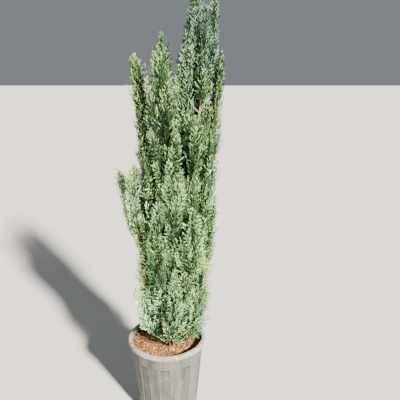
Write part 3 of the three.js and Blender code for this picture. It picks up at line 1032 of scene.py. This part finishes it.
def has_room(points, in_shade=False):
    """True if the points are over the hem, clear of the lip, and out of the openings unless in the shade."""
    if np.any(points[:, 2] < hem(points)):
        return False
    beside_lip = points[:, 2] < tub_height + lip_clearance
    if np.any(np.hypot(points[:, 0], points[:, 1])[beside_lip] > lip_inner_radius - lip_clearance):
        return False
    return not shows_in(openings, points[points[:, 1] < (shaded_depth if in_shade else opening_depth)])


def off_middle(point):
    """How far a point is from the crown's middle line."""
    return math.hypot(*(point - crown_middle(point[2]))[:2])


def reach_limit(point):
    """How far the rings' sprays may go from the crown's middle line: it is fuller on the right."""
    off = point - crown_middle(point[2])
    sideways = np.interp(point[2], limit_heights, right_limits if off[0] > 0 else left_limits)
    turned = off[0] ** 2 / (off[0] ** 2 + off[1] ** 2)
    return across_limit + (sideways - across_limit) * turned


def tints_of(height, inward, on_leader, random, outlying=False):
    """The three tints of a spray by its height, and painted shade if it grows towards the crown's inside."""
    if random.random() < dead_share:
        return ("dead_brown", "dead_brown", "tan")
    shifted = height + random.normal(0, tint_scatter)
    palette = next((chosen for top, chosen in palettes if shifted < top), palettes[-1][1])
    if outlying:
        palette = palettes[0][1]
    if on_leader and shifted > leader_foot:
        palette = leader_palette
    # Painted shade: sprays towards the crown's inside, and those under others, get the darkest tints
    if inward:
        return ("shade_green", palette[0], palette[1] if random.random() < 0.6 else palette[0])
    tanned = tan_top_share if height > tan_top_foot else tan_share
    if height > tan_foot and not on_leader and random.random() < tanned:
        return (palette[0], palette[1], "tan")
    if random.random() < tan_share:
        return (palette[0], "olive", "pale_olive")
    if random.random() < one_tint_share:
        return (palette[0], palette[1], palette[1])
    return palette


class Foliage:
    """The sprays that one piece of foliage gathers."""

    def __init__(self):
        self.sprays = []
        self.tints = []

    def add(self, spot, spray_tints, random):
        """Sets the pattern nearest in size at a spot, and notes its midrib for the twigs."""
        root, heading, side, rise, reach = spot
        size = int(np.argmin([abs(length - reach) for length in spray_lengths]))
        pattern = patterns[size * variants + int(random.integers(variants))]
        own = pattern.points * reach / pattern.length
        own[:, 1] *= 1 if random.random() < 0.5 else -1
        placed = root + own[:, :1] * heading + own[:, 1:2] * side + own[:, 2:] * np.cross(heading, side)
        self.sprays.append((placed + rise * own[:, :1] ** 2 / reach, pattern.faces))
        chosen = np.array([tint_names.index(name) for name in spray_tints])
        self.tints.append(chosen[pattern.part_of_face])
        midribs.append((root, heading, rise, reach))

    def finish(self, name):
        made = piece(name, *joined(self.sprays), foliage_materials, np.concatenate(self.tints))
        return made


foliage_materials = [plain_material("foliage_" + name, tint, 0.65, 0.2) for name, tint in tints.items()]
midribs = []


def spray_spot(root, along, angle, turn, roll, reach):
    """Where a spray stands that leaves a limb at an angle and a turn round it, all in radians."""
    across = unit(np.array([0, 1, 0]) - along * along[1])
    out = across * math.cos(turn) + np.cross(along, across) * math.sin(turn)
    heading = along * math.cos(angle) + out * math.sin(angle)
    side = unit(out - heading * math.sin(angle))
    side = side * math.cos(roll) + np.cross(heading, side) * math.sin(roll)
    rise = unit(along - heading * math.cos(angle)) * upward_bend
    return root, heading, side, rise, reach


def spray_outline(spot):
    root, heading, side, rise, reach = spot
    points = [root + reach * (far * heading + wide * side + far * far * rise) for far, wide in test_outline]
    return np.array(points)


def dress(own, foliage):
    """Sets the sprays of one plume by the golden angle. One that doesn't fit is turned, then shortened."""
    plume = plumes[own]
    random = np.random.default_rng(500 + own)
    chance = seeded(100 + own)
    count = int(plume.height / (skirt_spray_pitch if plume.splay else spray_pitch))
    shares = dressed_from + dressed_length * (np.arange(count) + random.uniform(0, 0.8, count)) / count
    roots = plume.axis(shares)
    alongs = unit(plume.axis(np.minimum(shares + 0.01, 1)) - plume.axis(shares - 0.01))
    low_angle = low_spray_angle + splay_angle * plume.splay
    below = for_plume(plume.name, under_share, usual_under_share)
    for station, share in enumerate(shares):
        risen = share**0.6 if plume.splay else share
        angle = low_angle + (high_spray_angle - low_angle) * risen
        angle = math.radians(angle + random.normal(0, angle_scatter))
        full = float(plume.fullness(min(1, share + spray_lead))) / math.sin(angle)
        full *= random.uniform(*reach_range)
        under = random.random() < below
        full = max(full, least_reach) * (under_reach if under else 1)
        if share < ring_reach_top:
            full *= ring_reach.get(plume.ring, 1)
        roll = roll_range * (2 * chance() - 1)
        fan_turn = 90 + 180 * (station % 2) + random.normal(0, fan_scatter)
        for attempt in range(turns * shortenings):
            turned = attempt % turns / turns
            turn = golden_angle * (station + turned) + plume.bearing
            if plume.ring == "outlier":
                turn = fan_turn + fan_step * turned
            reach = full * (1 - shrink_step * (attempt // turns))
            spot = spray_spot(roots[station], alongs[station], angle, math.radians(turn), roll, reach)
            outline = spray_outline(spot)
            tip = outline[-1]
            near_enough = tip[2] < plume.tip[2] + tip_rise
            if plume.ring in ring_reach:
                near_enough = near_enough and all(off_middle(p) < reach_limit(p) for p in outline[1:])
            if near_enough and has_room(outline) and keeps_to_its_space(own, outline):
                inward = off_middle(tip) < off_middle(roots[station]) - 0.01
                on_leader = plume.ring == "leader"
                chosen = tints_of(tip[2], inward or under, on_leader, random, plume.ring == "outlier")
                if shows_in(rusty_spots, outline[-1:]) and tip[1] < 0 and random.random() < rusty_share:
                    chosen = (chosen[0], "rust", "pale_rust")
                in_front = tip[1] < sunlit_depth and station % 4 > 0
                if in_front and not inward and shows_in(sunlit_spots, outline[-1:]):
                    chosen = sunlit_tints
                foliage.add(spot, chosen, random)
                break


tiers = {
    "foliage_skirt": ("skirt",),
    "foliage_lower": ("lower",),
    "foliage_middle": ("middle", "outlier"),
    "foliage_upper": ("upper",),
    "foliage_leaders": ("leader",),
}
for tier, rings_of_tier in tiers.items():
    foliage = Foliage()
    members = [i for i, plume in enumerate(plumes) if plume.ring in rings_of_tier]
    for own in members:
        dress(own, foliage)
    dressed = foliage.finish(tier)
    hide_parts(*[f"plume_{plumes[own].name}" for own in members])


# The foliage of the inside: sprays on the boughs and on the trunk itself. Low down, where they close the
# crown, they are painted dark as shade, and they show between the leaders.
bough_spray_pitch = 0.0042
bough_spray_from = 0.22  # of the bough
bough_spray_angles = (28, 50)
bough_spray_reach = (0.050, 0.095)
outlier_spray_reach = (0.030, 0.050)
inside_reach = 0.150  # from the crown's middle line
lit_reach = 0.085
side_top = 1.50  # of the sprays that leave the middle's own column
column_reach = 0.05
leader_reach = 0.07  # those nearer than this have the leaders' tints
dead_inside_share = 0.12
gap_stations = 26  # at the end of the lower left bough, that carry longer sprays as well
gap_sprays = ((26, 40), (0.060, 0.085), (150, 215))  # their angles, reaches and bearings
# from and to height, pitch, angles, reaches and bearings of the trunk's own sprays
trunk_sprays = [
    (0.37, 1.16, 0.0026, (24, 48), (0.055, 0.110), (0, 360)),
    (1.06, 1.40, 0.0030, (26, 42), (0.090, 0.140), (0, 360)),
    (1.06, 1.37, 0.0028, (24, 36), (0.120, 0.165), (115, 245)),
    (1.00, 1.28, 0.0034, (32, 46), (0.100, 0.150), (140, 220)),
    (0.70, 1.20, 0.0040, (24, 38), (0.095, 0.140), (-115, -65)),
    (0.60, 0.80, 0.0048, (26, 40), (0.085, 0.130), (120, 240)),
    (0.76, 0.86, 0.0024, (46, 58), (0.095, 0.120), (160, 192)),
    (0.335, 0.40, 0.0040, (35, 60), (0.050, 0.080), (120, 240)),
    (1.02, 1.24, 0.0050, (26, 38), (0.090, 0.130), (-165, -115)),
    (1.16, 1.36, 0.0020, (28, 42), (0.085, 0.130), (110, 215)),
    (1.16, 1.655, 0.0016, (18, 36), (0.050, 0.090), (0, 360)),
    (1.27, 1.375, 0.0024, (30, 43), (0.100, 0.132), (155, 205)),
    (1.20, 1.32, 0.0038, (28, 38), (0.132, 0.160), (168, 200)),
]
inside_random = np.random.default_rng(77)


def dress_limb(foliage, points, angles, reaches, bearings=(0, 360), outlying=False, on_leader=False):
    """Sets sprays along a curve of points, spread over these bearings by the golden angle."""
    alongs = unit(np.gradient(points, axis=0))
    in_gap = bearings != (0, 360)
    for station in range(len(points)):
        for attempt in range(3):
            angle = math.radians(inside_random.uniform(*angles))
            turned = golden_angle * (station + attempt / 3) % 360 / 360
            turn = math.radians(bearings[0] + (bearings[1] - bearings[0]) * turned - 90)
            reach = inside_random.uniform(*reaches)
            roll = inside_random.uniform(-1, 1)
            spot = spray_spot(points[station], alongs[station], angle, turn, roll, reach)
            outline = spray_outline(spot)
            far_out = off_middle(outline[-1])
            height = outline[-1][2]
            lit = outlying or on_leader or in_gap or far_out > lit_reach or height > leader_foot
            too_high = far_out > column_reach and not on_leader and height > side_top
            if has_room(outline, not lit) and (outlying or far_out < inside_reach) and not too_high:
                # Sprays out of the light are painted shade: dark tints all over, some with a dead brown part
                if lit:
                    near_middle = on_leader or far_out < leader_reach
                    chosen = tints_of(height, False, near_middle, inside_random, outlying)
                elif inside_random.random() < dead_inside_share:
                    chosen = ("dead_brown", "shade_green", "deep_leaf")
                else:
                    chosen = ("shade_green", "shade_green", "deep_leaf")
                if lit and shows_in([left_edge_spot], outline[-1:]):
                    chosen = sunlit_tints
                foliage.add(spot, chosen, inside_random)
                break


inside = Foliage()
for plume in plumes:
    if plume.name != "leader_top":
        length = np.linalg.norm(plume.bough[2] - plume.bough[0])
        stations = int((1 - bough_spray_from) * length / bough_spray_pitch) + 2
        line = bend(*plume.bough, np.linspace(bough_spray_from, 1, stations))
        outlying = plume.ring == "outlier"
        reaches = outlier_spray_reach if outlying else bough_spray_reach
        on_leader = plume.ring == "leader"
        dress_limb(inside, line, bough_spray_angles, reaches, outlying=outlying, on_leader=on_leader)
        if plume.name == "outlier_low":
            dress_limb(inside, line[-gap_stations:], *gap_sprays, outlying=True)
inside.finish("foliage_inside")
round_trunk = Foliage()
for lowest, highest, pitch, angles, reaches, bearings in trunk_sprays:
    trunk_stations = np.arange(lowest, highest, pitch)
    trunk_spots = np.array([trunk_point(min(height, trunk_tip_height)) for height in trunk_stations])
    trunk_spots[:, 2] = trunk_stations
    dress_limb(round_trunk, trunk_spots, angles, reaches, bearings)
round_trunk.finish("foliage_round_trunk")


# The twigs: the brown stems of the plumes and the thin green midribs of the sprays, all young wood of the
# last seasons. Each midrib is a three-sided twig that tapers from its root and bends with its spray.
twig_shares = np.array([0.0, 0.3, 0.62, 0.95])
twig_radii = np.array([0.0013, 0.0011, 0.0008, 0.0004])
corner_turns = [0, 2 * math.pi / 3, 4 * math.pi / 3]
any_way = np.array([0.3, 0.2, 0.93])  # that no midrib runs along
stem_material = plain_material("young_stem", "3c3220", 0.8)
stems = piece("plume_stems", *joined(stem_limbs), [stem_material], smooth=True)

roots, headings, rises, reaches = (np.array(part) for part in zip(*midribs))
travelled = reaches[:, None] * twig_shares
lines = roots[:, None] + headings[:, None] * travelled[:, :, None]
lines = lines + rises[:, None] * (travelled**2 / reaches[:, None])[:, :, None]
across = unit(np.cross(headings, any_way))
third = np.cross(headings, across)
ring = np.stack([across * math.cos(t) + third * math.sin(t) for t in corner_turns], axis=1)
twig_points = lines[:, :, None, :] + ring[:, None, :, :] * twig_radii[None, :, None, None]
twig_corners = len(twig_shares) * len(corner_turns)
twig_faces = ring_faces(len(twig_shares), len(corner_turns))
twig_faces = (np.arange(len(lines)) * twig_corners)[:, None, None] + twig_faces
twig_material = plain_material("young_twig", "2c3a1e", 0.75)
twigs = piece("twigs", twig_points.reshape(-1, 3), twig_faces.reshape(-1, 4), [twig_material], smooth=True)
